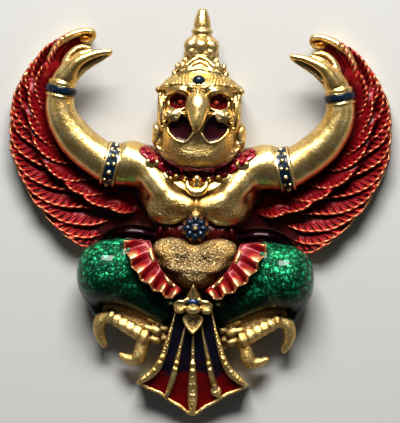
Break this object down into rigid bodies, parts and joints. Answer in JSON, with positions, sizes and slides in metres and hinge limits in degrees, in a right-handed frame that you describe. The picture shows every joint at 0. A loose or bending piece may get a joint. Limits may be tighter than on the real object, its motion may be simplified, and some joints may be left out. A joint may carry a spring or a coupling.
{
  "type": "garuda figure",
  "caption": "Small cast garuda figure with raised arms, spread feathered wings, folded legs and a fanned tail apron; flat back, gilt with coloured enamel",
  "frame": {"origin": "middle of the footprint on the flat back", "axes": "+Y runs to the crown's tip, +X to the viewer's right, +Z out of the face; the figure lies on its back"},
  "size_m": [0.0382, 0.0403, 0.0095],
  "materials": {
    "gilt_brass": "matte gilding on the cast metal, with translucent red and green and dark blue enamel in its hollows"
  },
  "bodies": {
    "root": {"garuda_figure": "gilt_brass"}
  },
  "joints": []
}
